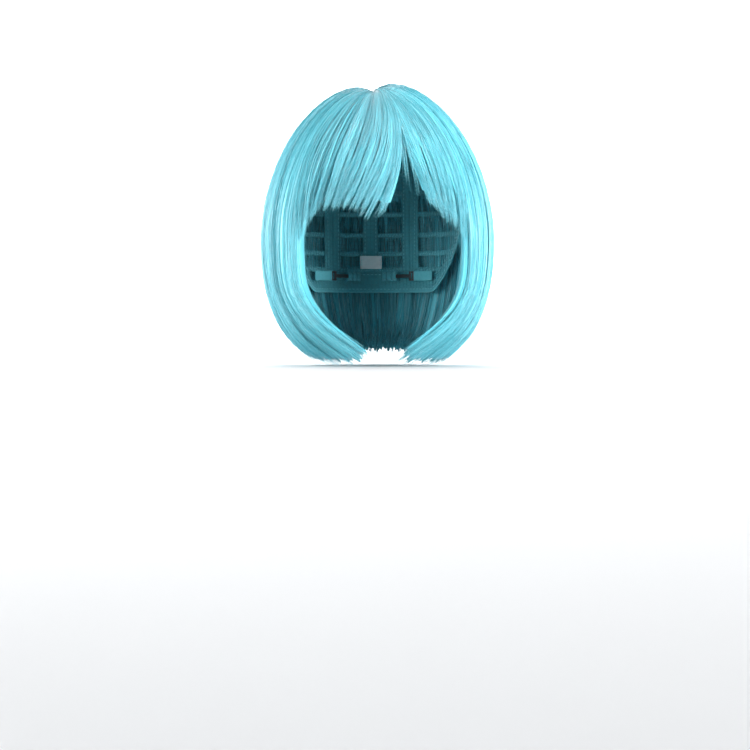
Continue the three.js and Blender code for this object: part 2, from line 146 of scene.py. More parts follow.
def combed(root_x, root_y, azimuth, turn, depth):
    """Points of hair combed from a root on the parting, all arguments arrays of one shape."""
    angle = np.radians(azimuth)
    lower_side = 0.5 - 0.5 * np.clip(np.sin(angle) / 0.3, -1, 1)
    dip = PARTING_DIP * (1 - DIP_LOST * smooth(np.abs(root_y), DIP_FADES_FROM, DIP_FADED_AT))
    depth = depth + dip * np.exp(-turn / PARTING_SOFTNESS)
    depth = depth + LOWER_LOBE * lower_side * np.exp(-((turn / LOBE_REACH) ** 2))
    side, along = egg_axes(np.cos(angle), depth)
    end_x = side * np.sin(angle)
    end_y = -along * np.cos(angle)

    fall = np.sin(np.radians(np.clip(turn, 0, 90)))
    upper_x = root_x + (end_x - root_x) * fall
    upper_y = root_y + (end_y - root_y) * fall
    upper_along = np.where(upper_y < 0, EGG_FRONT, EGG_BACK) - depth
    reach = np.hypot(upper_x / side, upper_y / upper_along)
    rest = np.clip(1 - reach**CROWN_POWER, 0, 1)
    upper_z = WIDEST + (EGG_UP - depth) * rest ** (1 / CROWN_POWER)

    tuck = np.radians(np.clip(turn - 90, 0, 89.9))
    drawn_in = np.cos(tuck) ** (2 / HANGING_POWER)
    down = EGG_DOWN + FULLER_LEFT * (1 - 2 * lower_side) - 0.4 * depth
    lower_z = WIDEST - down * np.sin(tuck) ** (2 / HANGING_POWER)
    hangs = turn > 90
    return np.stack(
        [
            np.where(hangs, end_x * drawn_in, upper_x),
            np.where(hangs, end_y * drawn_in, upper_y),
            np.where(hangs, lower_z, upper_z),
        ],
        axis=-1,
    )


def turn_reaching(section, share, level):
    """The turn at which each share of a section comes down to its own level."""
    turns = np.linspace(20, 177, 90)
    heights = section.place(share[:, None], turns[None, :], 2 * MM)[..., 2]
    return np.array([np.interp(-want, -row, turns) for want, row in zip(level, heights)])


def outwards(points):
    """Unit normals of the egg at points."""
    along = np.where(points[..., 1] < 0, EGG_FRONT, EGG_BACK)
    height = np.where(points[..., 2] > WIDEST, EGG_UP, EGG_DOWN)
    normal = np.stack(
        [
            points[..., 0] / EGG_SIDE**2,
            points[..., 1] / along**2,
            (points[..., 2] - WIDEST) / height**2,
        ],
        axis=-1,
    )
    return normal / np.linalg.norm(normal, axis=-1, keepdims=True)


# ------------------------------------------------------------------ the hair's sections


@dataclass
class Section:
    """A part of the hair that is combed one way: share 0 to 1 runs across it.

    Its lift is two places: the cap holds the hair at the first, and its joint moves it all at the
    second; nothing in this script reads it. Its arc is its width round the egg.
    """

    name: str
    body: str
    lift: tuple
    arc: float
    azimuth: object
    root: object
    tip: object

    def place(self, share, turn, depth, sway=0.0):
        root_x, root_y = self.root(share)
        return combed(root_x, root_y, self.azimuth(share, turn) + sway, turn, depth)


def parting_root(azimuth):
    """Where on the parting the hair that hangs at an azimuth is sewn, front to back."""
    ahead = CURTAIN_START - 1
    round_back = np.clip((np.abs(azimuth) - ahead) / (180 - ahead), 0, 1) ** 0.9
    root_y = PARTING_FRONT + (PARTING_BACK - PARTING_FRONT) * round_back
    root_x = PARTING_X + 1.5 * MM * np.sin(np.radians(azimuth))
    return root_x, root_y


def curtain(side):
    """The hanging hair on one side: side is 1 on the wearer's left and -1 on the right."""

    def start(share):
        return CURTAIN_START + (CURTAIN_END - CURTAIN_START) * share

    def azimuth(share, turn):
        fallen = np.sin(np.radians(np.clip(turn - 90, 0, 89))) ** (2 / HANGING_POWER)
        late = np.clip((fallen - SWING_FROM) / SWING_OVER, 0, 1.15) ** SWING_LATENESS
        return side * (start(share) - CURTAIN_SWING * (1 - share) ** SWING_LOSS * late)

    def root(share):
        return parting_root(side * start(share))

    def tip(share):
        front = FRONT_TIPS_RISE * np.exp(-((share / 0.08) ** 2))
        return TIPS + front + REAR_TIPS_RISE * smooth(share, 0.35, 1)

    word = "left" if side > 0 else "right"
    lift = ((side * 0.040, 0, 0.100), (side * 0.090, 0, 0.048))
    return Section(f"side_{word}", f"side_{word}", lift, SIDE_ARC, azimuth, root, tip)


def back_section():
    def start(share):
        return CURTAIN_END + (360 - 2 * CURTAIN_END) * share

    def azimuth(share, turn):
        return start(share) + 0 * turn

    def root(share):
        angle = start(share)
        return parting_root(np.where(angle > 180, angle - 360, angle))

    def tip(share):
        return TIPS + BACK_TIPS_RISE - 1 * MM * np.cos(2 * np.pi * share)

    lift = ((0, 0.042, 0.106), (0, 0.095, 0.062))
    return Section("back", "back", lift, BACK_ARC, azimuth, root, tip)


def fringe_section(name, high, low, tip, arc, straggle=0.0):
    """A panel of the fringe: azimuths at its two edges, high on the forehead and at its tips.

    The last strands, at share 1, straggle away from the panel by some more degrees.
    """

    def azimuth(share, turn):
        above = high[0] + (high[1] - high[0]) * share
        below = low[0] + (low[1] - low[0]) * share + straggle * share**9
        bend = np.clip((turn - FRINGE_BENDS_FROM) / FRINGE_BENDS_OVER, 0, 1.25) ** 1.6
        return above + (below - above) * bend

    def root(share):
        root_x = PARTING_X + 4 * MM * (share - 0.5)
        return root_x, FRINGE_ROOT + 5 * MM * np.abs(share - 0.5)

    lift = ((0, -0.024, 0.108), (0, -0.068, 0.086))
    return Section(name, "fringe", lift, arc, azimuth, root, tip)


# The level of the fringe's tips across each panel. The right one is cut on a slant.


def right_tips(share):
    return (-27 + 33 * smooth(share, -0.06, 0.4) - 8 * smooth(share, 0.7, 1.0)) * MM


def left_tips(share):
    return (8 - 28 * share) * MM


def wisp_tips(share):
    return (36 - 20 * share) * MM


SECTIONS = {
    "fringe_right": fringe_section(
        "fringe_right", (-51, 16), (-49, -8), right_tips, FRINGE_ARC, straggle=10
    ),
    "fringe_left": fringe_section(
        "fringe_left", (14, 54), (23, 49), left_tips, FRINGE_LEFT_ARC
    ),
    "side_left": curtain(1),
    "side_right": curtain(-1),
    "back": back_section(),
}


# ------------------------------------------------------------------ meshes of hair


def new_mesh(name, points, quads, triangles=None):
    """A mesh from arrays: points, four-sided faces and, where given, three-sided ones."""
    mesh = bpy.data.meshes.new(name)
    mesh.vertices.add(len(points))
    mesh.vertices.foreach_set("co", points.astype(np.float32).ravel())
    corners = [quads.ravel()]
    sizes = [np.full(len(quads), 4)]
    if triangles is not None:
        corners.append(triangles.ravel())
        sizes.append(np.full(len(triangles), 3))
    corners = np.concatenate(corners)
    sizes = np.concatenate(sizes)
    mesh.loops.add(len(corners))
    mesh.loops.foreach_set("vertex_index", corners.astype(np.int32))
    mesh.polygons.add(len(sizes))
    starts = np.concatenate([[0], np.cumsum(sizes)[:-1]])
    mesh.polygons.foreach_set("loop_start", starts.astype(np.int32))
    mesh.update(calc_edges=True)
    mesh.validate()
    mesh.polygons.foreach_set("use_smooth", np.ones(len(mesh.polygons), dtype=bool))
    return mesh


def new_piece(name, mesh, material):
    piece = bpy.data.objects.new(name, mesh)
    bpy.context.scene.collection.objects.link(piece)
    mesh.materials.append(material)
    return piece


def add_comb_data(mesh, tone, along, across):
    """What the fibre's material reads: each point's tone, and a UV map of across and along."""
    attribute = mesh.attributes.new("tone", "FLOAT", "POINT")
    attribute.data.foreach_set("value", tone.astype(np.float32))
    corner = np.empty(len(mesh.loops), dtype=np.int32)
    mesh.loops.foreach_get("vertex_index", corner)
    layer = mesh.uv_layers.new(name="Combed")
    pairs = np.stack([across[corner], along[corner]], axis=-1)
    layer.data.foreach_set("uv", pairs.astype(np.float32).ravel())


def tubes(name, paths, width, thickness, section, tone, material, roll=None):
    """Closed tubes along paths (strand, step, xyz): section is a list of (across, out) points."""
    count, steps, _ = paths.shape
    sides = len(section)
    tangent = np.gradient(paths, axis=1)
    tangent /= np.maximum(np.linalg.norm(tangent, axis=-1, keepdims=True), 1e-9)
    out = outwards(paths)
    across = np.cross(tangent, out)
    across /= np.maximum(np.linalg.norm(across, axis=-1, keepdims=True), 1e-9)
    out = np.cross(across, tangent)
    if roll is not None:
        turned = np.radians(roll)[:, None, None]
        across, out = (
            across * np.cos(turned) + out * np.sin(turned),
            out * np.cos(turned) - across * np.sin(turned),
        )
    shape = np.array(section)
    rings = (
        paths[:, :, None, :]
        + across[:, :, None, :] * (width[:, :, None, None] * shape[None, None, :, 0:1])
        + out[:, :, None, :] * (thickness[:, :, None, None] * shape[None, None, :, 1:2])
    )
    points = rings.reshape(-1, 3)
    index = np.arange(count * steps * sides).reshape(count, steps, sides)
    here, there = index[:, :-1], index[:, 1:]
    quads = np.stack(
        [here, np.roll(here, -1, axis=2), np.roll(there, -1, axis=2), there], axis=-1
    ).reshape(-1, 4)
    fans = []
    for ring, flip in ((index[:, 0], True), (index[:, -1], False)):
        for k in range(1, sides - 1):
            fan = [ring[:, 0], ring[:, k], ring[:, k + 1]]
            fans.append(np.stack(fan[::-1] if flip else fan, axis=-1))
    mesh = new_mesh(name, points, quads, np.concatenate(fans))
    share = np.linspace(0, 1, steps)
    along = np.broadcast_to(share[None, :, None], index.shape).ravel()
    spread = np.broadcast_to(shape[None, None, :, 0], index.shape)
    place = tone[:, None, None] * 37.0 + spread * width[:, :, None] / MM
    tones = np.broadcast_to(tone[:, None, None], index.shape).ravel()
    add_comb_data(mesh, tones, along, place.ravel())
    return new_piece(name, mesh, material)


def round_section(angles):
    return [(math.cos(angle) / 2, math.sin(angle) / 2) for angle in angles]


# Cross-sections, in (across, out): a fine three-sided strand, a flat lock and a round thread.
STRAND = [(-0.5, 0.0), (0.5, 0.0), (0.0, 1.0)]
LOCK = [(-0.5, 0.0), (-0.22, -0.42), (0.22, -0.42), (0.5, 0.0), (0.2, 0.5), (-0.2, 0.5)]
THREAD = round_section((0.0, 1.57, 3.14, 4.71))


def wander(count, steps, size, waves, seeds):
    """A gentle wave along each strand that grows from its root."""
    share = np.linspace(0, 1, steps)[None, :]
    phase = seeds[:, None] * 2 * np.pi
    turns = waves * (0.7 + 0.6 * seeds[:, None])
    return size * np.sin(phase + 2 * np.pi * turns * share) * (0.25 + 0.75 * share)


# Shares of a strand's length at which its curl and its taper start, and how thin its tip gets.
CURL_STARTS = 0.8
TIP_TAPER_STARTS = 0.66
TIP_THINNING = 0.88


def comb(
    section, count, depths, start, steps, clump, width, rng,
    short=0.0, curl=6 * MM, pitch=6 * MM, stray=1.0, ragged=1.8 * MM, lift=0.0, edge=0.0,
):
    """Strands of one layer, gathered in locks. Gives their paths, widths and tones."""
    lock_count = max(3, int(section.arc / pitch))
    lock_share = (np.arange(lock_count) + rng.uniform(0.2, 0.8, lock_count)) / lock_count
    lock_tip = rng.normal(0, ragged, lock_count)
    lock_seed = rng.random(lock_count)
    lock_depth = rng.uniform(-0.5, 1, lock_count)

    share = edge + (1 - edge) * (np.arange(count) + rng.random(count)) / count
    nearest = np.abs(share[:, None] - lock_share[None, :]).argmin(axis=1)
    tip = section.tip(share) + lock_tip[nearest] + rng.normal(0, ragged, count)
    tip = tip + lift + short * rng.random(count) ** 2
    tip = np.maximum(tip, TIPS - 1 * MM) if section.body != "fringe" else tip
    last = turn_reaching(section, share, tip)
    first = rng.uniform(start[0], start[1], count)
    run = np.linspace(0, 1, steps)[None, :]
    turn = first[:, None] + (last - first)[:, None] * run

    gathered = clump * smooth(run, 0.15, 1.0)
    pull = (lock_share[nearest] - share)[:, None] * gathered
    depth = rng.uniform(depths[0], depths[1], count)[:, None] + 0 * turn
    depth = depth + lock_depth[nearest][:, None] * 1.2 * MM * smooth(run, 0.1, 0.6)
    depth = depth + wander(count, steps, 0.5 * MM, 1.3, rng.random(count))
    curled = smooth(run, CURL_STARTS, 1.0) ** 2
    depth = depth + curl * curled * rng.uniform(0.4, 1.4, count)[:, None]
    sway = wander(count, steps, 0.8, 1.0, lock_seed[nearest])
    sway = sway + wander(count, steps, 0.4 * stray, 1.6, rng.random(count))
    depth = np.maximum(depth, -0.2 * MM * stray**2)
    paths = section.place(share[:, None] + pull, turn, depth, sway)

    root_taper = np.minimum(1, 0.35 + run / 0.06)
    taper = root_taper * (1 - TIP_THINNING * smooth(run, TIP_TAPER_STARTS, 1.0))
    widths = width * rng.uniform(0.7, 1.3, count)[:, None] * taper
    tone = 0.5 * rng.random(count) + 0.5 * lock_seed[nearest]
    return paths, widths, tone


STRAND_FLATNESS = 0.42
LOCK_FLATNESS = 0.34


def strand_layer(name, section, material, rng, **settings):
    paths, widths, tone = comb(section, rng=rng, **settings)
    roll = rng.normal(0, 18, len(tone))
    return tubes(name, paths, widths, widths * STRAND_FLATNESS, STRAND, tone, material, roll)


def lock_layer(name, section, material, rng, **settings):
    paths, widths, tone = comb(section, rng=rng, **settings)
    return tubes(name, paths, widths, widths * LOCK_FLATNESS, LOCK, tone, material)


# The backing's grooves: three sets, each with a width in columns and a depth.
GROOVES = ((2.3, 0.35), (6.1, 0.6), (17.0, 0.7))


def backing(name, section, material, rng, depths, start, columns, rows, lift_tips):
    """The solid mass of fibre under the combed locks: a ridged sheet with a real thickness."""
    share = np.linspace(0, 1, columns)
    grooves = np.zeros(columns)
    for width, size in GROOVES:
        waves = columns / width
        phase = rng.random() * 6.28
        drift = np.cumsum(rng.normal(0, 0.25, columns))
        grooves += size * np.sin(2 * np.pi * waves * share + phase + drift)
    last = turn_reaching(section, share, section.tip(share) + lift_tips + 1.5 * MM * grooves)
    run = np.linspace(0, 1, rows)
    turn = start + (last[:, None] - start) * run[None, :]
    taper = 1 - smooth(run, 0.75, 1.0)[None, :]
    middle = (depths[0] + depths[1]) / 2
    outer = depths[0] + (middle - depths[0] - 0.4 * MM) * (1 - taper)
    inner = depths[1] + (middle - depths[1] + 0.4 * MM) * (1 - taper)
    relief = grooves[:, None] * 0.75 * MM * (0.3 + 0.7 * smooth(run, 0, 0.3)[None, :])
    place = section.place
    top = place(share[:, None], turn, outer + relief * (0.35 + 0.65 * taper))
    under = place(share[:, None], turn, inner - relief * 0.7 * taper)
    points = np.concatenate([top.reshape(-1, 3), under.reshape(-1, 3)])
    index = np.arange(columns * rows).reshape(columns, rows)
    other = index + columns * rows

    def grid(of):
        corners = [of[:-1, :-1], of[1:, :-1], of[1:, 1:], of[:-1, 1:]]
        return np.stack(corners, axis=-1).reshape(-1, 4)

    def wall(a, b):
        return np.stack([a[:-1], b[:-1], b[1:], a[1:]], axis=-1)

    quads = np.concatenate(
        [
            grid(index),
            grid(other)[:, ::-1],
            wall(index[:, 0], other[:, 0]),
            wall(other[:, -1], index[:, -1]),
            wall(other[0], index[0]),
            wall(index[-1], other[-1]),
        ]
    )
    mesh = new_mesh(name, points, quads)
    tone = np.tile((0.5 + 0.25 * np.clip(grooves, -2, 2))[:, None], (1, rows)).ravel()
    along = np.tile(run[None, :], (columns, 1)).ravel()
    across = np.tile((share * section.arc / MM)[:, None], (1, rows)).ravel()
    add_comb_data(mesh, np.tile(tone, 2), np.tile(along, 2), np.tile(across, 2))
    return new_piece(name, mesh, material)


# ------------------------------------------------------------------ materials


def new_material(name):
    material = bpy.data.materials.new(name)
    material.use_nodes = True
    nodes = material.node_tree.nodes
    return material, nodes, material.node_tree.links, nodes["Principled BSDF"]


def new_group(name, inputs, outputs):
    """An empty effect with named sockets, and its two ends."""
    group = bpy.data.node_groups.new(name, "ShaderNodeTree")
    for socket, kind in inputs:
        group.interface.new_socket(socket, in_out="INPUT", socket_type=f"NodeSocket{kind}")
    for socket in outputs:
        group.interface.new_socket(socket, in_out="OUTPUT", socket_type="NodeSocketFloat")
    nodes = group.nodes
    ends = nodes.new("NodeGroupInput"), nodes.new("NodeGroupOutput")
    return group, nodes, group.links, ends[0].outputs, ends[1].inputs


def calculate(nodes, links, operation, *values):
    """A Math node: its values are sockets or numbers."""
    node = nodes.new("ShaderNodeMath")
    node.operation = operation
    for seat, value in zip(node.inputs, values):
        if isinstance(value, (int, float)):
            seat.default_value = value
        else:
            links.new(value, seat)
    return node.outputs[0]


def ranged(nodes, links, value, source, target):
    """A Map Range node, from the source's two ends to the target's."""
    node = nodes.new("ShaderNodeMapRange")
    for end, number in zip(("From Min", "From Max", "To Min", "To Max"), (*source, *target)):
        node.inputs[end].default_value = number
    links.new(value, node.inputs["Value"])
    return node.outputs["Result"]


def noise(nodes, links, place, scale, detail):
    """A Noise node: its scale is a socket or a number."""
    node = nodes.new("ShaderNodeTexNoise")
    links.new(place, node.inputs["Vector"])
    node.inputs["Detail"].default_value = detail
    if isinstance(scale, (int, float)):
        node.inputs["Scale"].default_value = scale
    else:
        links.new(scale, node.inputs["Scale"])
    return node.outputs["Fac"]


def mixed(nodes, links, share, first, second):
    """A colour mix: the second colour is plain, the first a colour or a socket."""
    node = nodes.new("ShaderNodeMix")
    node.data_type = "RGBA"
    node.inputs[7].default_value = (*second, 1)
    if isinstance(first, tuple):
        node.inputs[6].default_value = (*first, 1)
    else:
        links.new(first, node.inputs[6])
    links.new(share, node.inputs[0])
    return node.outputs[2]


def relief(nodes, links, shader, height, strength, distance):
    bump = nodes.new("ShaderNodeBump")
    bump.inputs["Strength"].default_value = strength
    bump.inputs["Distance"].default_value = distance
    links.new(height, bump.inputs["Height"])
    links.new(bump.outputs["Normal"], shader.inputs["Normal"])


def uneven_gloss(nodes, links, shader, share, roughness, spread):
    target = (roughness - spread, roughness + spread)
    links.new(ranged(nodes, links, share, (0, 1), target), shader.inputs["Roughness"])


# Along a strand, from 0 at its root to 1 at its tip.
# Painted shade darkens each strand from its root up to this share of its length.
PAINTED_ROOT_SHADE_ENDS = 0.16
# A painted reflection pales the fibre seen edge-on, growing in between these two shares.
PAINTED_GLARE_STARTS = 0.12
PAINTED_GLARE_FULL = 0.5


def fibre_streaks():
    """A node group: a strand's own tone, fine streaks along it and painted shade that darkens its
    root end; also how far along it is, for the painted reflection.
    """
    group, nodes, links, given, made = new_group(
        "fibre_streaks",
        (("Map", "Vector"), ("Tone", "Float")),
        ("Streak", "Shade", "Away From Root"),
    )
    stretch = nodes.new("ShaderNodeMapping")
    stretch.inputs["Scale"].default_value = (1.9, 2.2, 1.0)
    links.new(given["Map"], stretch.inputs["Vector"])
    streak = noise(nodes, links, stretch.outputs["Vector"], 1.0, 3.0)
    own = calculate(nodes, links, "MULTIPLY_ADD", given["Tone"], 0.66, -0.26)
    blend = calculate(nodes, links, "MULTIPLY_ADD", streak, 0.9, own)
    lengthwise = nodes.new("ShaderNodeSeparateXYZ")
    links.new(given["Map"], lengthwise.inputs[0])
    along = lengthwise.outputs["Y"]
    # Painted shade: the colour is darkened over the first part of each strand, from its root.
    painted_root_shade = ranged(nodes, links, along, (0, PAINTED_ROOT_SHADE_ENDS), (-0.5, 0))
    links.new(streak, made["Streak"])
    links.new(calculate(nodes, links, "ADD", blend, painted_root_shade), made["Shade"])
    away = ranged(nodes, links, along, (PAINTED_GLARE_STARTS, PAINTED_GLARE_FULL), (0, 1))
    links.new(away, made["Away From Root"])
    return group


def thread_weave():
    """A node group: over-and-under threads on a map in millimetres, and a shade that is painted
    shade, darker in the dips between threads, over an uneven dye.
    """
    group, nodes, links, given, made = new_group(
        "thread_weave",
        (("Map", "Vector"), ("Threads Along", "Float"), ("Threads Across", "Float")),
        ("Height", "Shade"),
    )
    parts = nodes.new("ShaderNodeSeparateXYZ")
    links.new(given["Map"], parts.inputs[0])
    waves = []
    for axis, count in (("X", "Threads Along"), ("Y", "Threads Across")):
        scaled = calculate(nodes, links, "MULTIPLY", parts.outputs[axis], given[count])
        waves.append(calculate(nodes, links, "SINE", scaled))
    crossed = calculate(nodes, links, "MULTIPLY", *waves)
    height = ranged(nodes, links, crossed, (-1, 1), (0, 1))
    links.new(height, made["Height"])
    dye = noise(nodes, links, given["Map"], 0.35, 4.0)
    faint = calculate(nodes, links, "MULTIPLY", dye, 0.6)
    # Painted shade: the raised threads lighter and the dips between them darker, added to the
    # uneven dye.
    links.new(calculate(nodes, links, "MULTIPLY_ADD", height, 0.45, faint), made["Shade"])
    return group


def fine_grain():
    """A node group: a grain in the piece's own space, stretched along one axis if asked."""
    group, nodes, links, given, made = new_group(
        "fine_grain",
        (("Place", "Vector"), ("Stretch", "Vector"), ("Scale", "Float")),
        ("Grain",),
    )
    stretched = nodes.new("ShaderNodeMapping")
    links.new(given["Place"], stretched.inputs["Vector"])
    links.new(given["Stretch"], stretched.inputs["Scale"])
    grain = noise(nodes, links, stretched.outputs["Vector"], given["Scale"], 5.0)
    links.new(grain, made["Grain"])
    return group


STREAKS = fibre_streaks()
WEAVE = thread_weave()
GRAIN = fine_grain()


def placed_group(nodes, group, **values):
    node = nodes.new("ShaderNodeGroup")
    node.node_tree = group
    for socket, value in values.items():
        node.inputs[socket.replace("_", " ").title()].default_value = value
    return node


def fibre_material(name, deep, body, light, pale, roughness, sheen):
    """Glossy synthetic fibre whose colour is mixed towards a pale tone where it is seen edge-on:
    a painted reflection of the bright room, fading in away from the root.
    """
    material, nodes, links, shader = new_material(name)
    tone = nodes.new("ShaderNodeAttribute")
    tone.attribute_name = "tone"
    combed_map = nodes.new("ShaderNodeUVMap")
    combed_map.uv_map = "Combed"
    streaks = placed_group(nodes, STREAKS)
    links.new(combed_map.outputs["UV"], streaks.inputs["Map"])
    links.new(tone.outputs["Fac"], streaks.inputs["Tone"])
    ramp = nodes.new("ShaderNodeValToRGB")
    ramp.color_ramp.elements[0].position = 0.15
    ramp.color_ramp.elements[0].color = (*deep, 1)
    ramp.color_ramp.elements[1].position = 0.85
    ramp.color_ramp.elements[1].color = (*light, 1)
    ramp.color_ramp.elements.new(0.5).color = (*body, 1)
    links.new(streaks.outputs["Shade"], ramp.inputs["Fac"])
    # Painted reflection: the base colour is mixed towards the pale tone by how edge-on the fibre
    # is seen.
    grazing = nodes.new("ShaderNodeLayerWeight")
    grazing.inputs["Blend"].default_value = 0.28
    away = streaks.outputs["Away From Root"]
    painted_glare_share = calculate(nodes, links, "MULTIPLY", grazing.outputs["Facing"], away)
    colour = mixed(nodes, links, painted_glare_share, ramp.outputs["Color"], pale)
    links.new(colour, shader.inputs["Base Color"])
    uneven_gloss(nodes, links, shader, streaks.outputs["Streak"], roughness, 0.08)
    relief(nodes, links, shader, streaks.outputs["Streak"], 0.45, 0.2 * MM)
    shader.inputs["Specular IOR Level"].default_value = 0.4
    shader.inputs["Sheen Weight"].default_value = sheen
    shader.inputs["Sheen Roughness"].default_value = 0.35
    shader.inputs["Sheen Tint"].default_value = (0.80, 0.97, 1.0, 1)
    return material


def woven_material(name, dark, light, along, across, roughness, depth, sheen=0.3):
    """Cloth whose threads follow the piece's own Cloth map, in millimetres."""
    material, nodes, links, shader = new_material(name)
    cloth_map = nodes.new("ShaderNodeUVMap")
    cloth_map.uv_map = "Cloth"
    weave = placed_group(nodes, WEAVE, threads_along=along, threads_across=across)
    links.new(cloth_map.outputs["UV"], weave.inputs["Map"])
    # The weave's shade is painted shade in the dips between threads, over an uneven dye.
    colour = mixed(nodes, links, weave.outputs["Shade"], dark, light)
    links.new(colour, shader.inputs["Base Color"])
    relief(nodes, links, shader, weave.outputs["Height"], 0.6, depth)
    shader.inputs["Roughness"].default_value = roughness
    shader.inputs["Sheen Weight"].default_value = sheen
    return material


def grained_material(name, dark, light, scale, roughness, depth, metal=0.0, stretch=(1, 1, 1)):
    """Plastic, metal, thread or skin: a grain in the object's own space."""
    material, nodes, links, shader = new_material(name)
    place = nodes.new("ShaderNodeTexCoord")
    grain = placed_group(nodes, GRAIN, stretch=stretch, scale=scale)
    links.new(place.outputs["Object"], grain.inputs["Place"])
    share = grain.outputs["Grain"]
    links.new(mixed(nodes, links, share, dark, light), shader.inputs["Base Color"])
    uneven_gloss(nodes, links, shader, share, roughness, 0.1)
    relief(nodes, links, shader, share, 0.4, depth)
    shader.inputs["Metallic"].default_value = metal
    return material


# Each fibre: deep, body and light tones, the pale tone of its painted reflection, its roughness
# and its sheen.
aqua_fibre = fibre_material(
    "aqua_fibre", (0.018, 0.23, 0.30), (0.07, 0.475, 0.575), (0.17, 0.645, 0.745),
    (0.42, 0.78, 0.86), 0.36, 0.5,
)
# The same fibre made darker for the backing mass and the inner layers: painted shade for the hair
# that lies under the outer locks, with a dimmer painted reflection.
aqua_in_painted_shade = fibre_material(
    "aqua_in_painted_shade", (0.02, 0.20, 0.26), (0.06, 0.40, 0.49), (0.15, 0.58, 0.68),
    (0.20, 0.60, 0.70), 0.5, 0.3,
)
elastic_tape = woven_material(
    "elastic_tape", (0.03, 0.22, 0.27), (0.10, 0.45, 0.52), 4.2, 7.5, 0.75, 0.12 * MM
)
weft_tape = woven_material(
    "weft_tape", (0.04, 0.27, 0.33), (0.13, 0.52, 0.60), 7.5, 4.2, 0.7, 0.10 * MM
)
tab_cloth = woven_material(
    "tab_cloth", (0.05, 0.30, 0.36), (0.16, 0.55, 0.62), 5.2, 5.2, 0.85, 0.14 * MM, 0.5
)
label_satin = woven_material(
    "label_satin", (0.62, 0.66, 0.68), (0.88, 0.90, 0.91), 2.0, 16.0, 0.32, 0.03 * MM, 0.6
)
net_nylon = grained_material(
    "net_nylon", (0.03, 0.20, 0.25), (0.08, 0.36, 0.43), 900, 0.5, 0.03 * MM
)
sewing_thread = grained_material(
    "sewing_thread", (0.16, 0.52, 0.60), (0.34, 0.74, 0.82), 2500, 0.55, 0.05 * MM
)
parting_film = grained_material(
    "parting_film", (0.50, 0.33, 0.25), (0.66, 0.47, 0.37), 1300, 0.6, 0.06 * MM
)
hook_plastic = grained_material(
    "hook_plastic", (0.012, 0.014, 0.016), (0.035, 0.04, 0.045), 1800, 0.42, 0.02 * MM
)
spring_steel = grained_material(
    "spring_steel", (0.42, 0.43, 0.45), (0.62, 0.63, 0.65), 600, 0.32, 0.01 * MM,
    metal=1.0, stretch=(1, 1, 0.05),
)


# ------------------------------------------------------------------ the hair


def finish_hair(piece):
    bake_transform(piece)
    return piece


def make_layers(section, rng, scale, mass, layers, **shared):
    """A section's backing and its layers of locks and strands, from the outside in."""
    depths, columns, rows, lift_tips = mass
    pieces = [
        backing(
            f"{section.name}_mass", section, aqua_in_painted_shade, rng,
            depths=np.array(depths) * MM, start=4, columns=int(columns * scale), rows=rows,
            lift_tips=lift_tips,
        )
    ]
    for name, make, fibre, count, depths, start, steps, settings in layers:
        layer = make(
            f"{section.name}_{name}", section, fibre, rng, count=int(count * scale),
            depths=np.array(depths) * MM, start=start, steps=steps, **settings, **shared,
        )
        pieces.append(layer)
    return [finish_hair(piece) for piece in pieces]


# A backing's depths in millimetres, columns, rows and how far above the tips it ends.
LONG_MASS = ((4.5, 10), 150, 44, 2.5 * MM)
FRINGE_MASS = ((4, 7), 110, 34, 12 * MM)

# Each layer's maker, fibre, count for a whole side or fringe, depths in millimetres, range of
# turns at its roots, steps along it, and how it is combed.
LONG_LAYERS = (
    ("locks", lock_layer, aqua_fibre, 110, (2.2, 4.6), (1, 4), 30,
     dict(clump=0.25, width=4.6 * MM, short=6 * MM, lift=4 * MM)),
    ("strands", strand_layer, aqua_fibre, 620, (0.4, 2.6), (0, 3), 24,
     dict(clump=0.4, width=1.0 * MM, short=5 * MM)),
    ("fine_strands", strand_layer, aqua_fibre, 620, (0.1, 1.6), (0, 3), 24,
     dict(clump=0.3, width=0.62 * MM, short=4 * MM)),
    ("flyaways", strand_layer, aqua_fibre, 26, (-0.8, 0.4), (0, 60), 27,
     dict(clump=0.0, width=0.34 * MM, short=18 * MM, stray=3.2)),
    ("inner_locks", lock_layer, aqua_in_painted_shade, 60, (9.5, 12), (62, 88), 22,
     dict(clump=0.12, width=5 * MM, short=3 * MM, lift=4 * MM, edge=0.12)),
    ("inner_strands", strand_layer, aqua_in_painted_shade, 260, (11, 13.5), (66, 92), 20,
     dict(clump=0.15, width=0.9 * MM, short=3 * MM, lift=1 * MM, edge=0.1, ragged=0.9 * MM)),
)
FRINGE_LAYERS = (
    ("locks", lock_layer, aqua_fibre, 60, (2.2, 5.5), (1, 4), 24,
     dict(clump=0.3, width=3.2 * MM, short=10 * MM, lift=7 * MM)),
    ("strands", strand_layer, aqua_fibre, 560, (0.6, 4), (0, 3), 24,
     dict(clump=0.45, width=0.85 * MM, short=8 * MM)),
    ("fine_strands", strand_layer, aqua_fibre, 640, (0.2, 3.4), (0, 3), 24,
     dict(clump=0.35, width=0.5 * MM, short=9 * MM)),
)
FRINGE_COMBING = dict(pitch=4.5 * MM, curl=1 * MM, ragged=1.4 * MM)


def make_wisp(section, rng):
    """The few loose strands that hang in the fringe's split."""
    piece = strand_layer(
        f"{section.name}_strands", section, aqua_fibre, rng,
        count=30, depths=(0.5 * MM, 4 * MM), start=(1, 6), steps=24,
        clump=0.5, width=0.55 * MM, short=14 * MM, curl=1 * MM, ragged=3 * MM,
    )
    return finish_hair(piece)


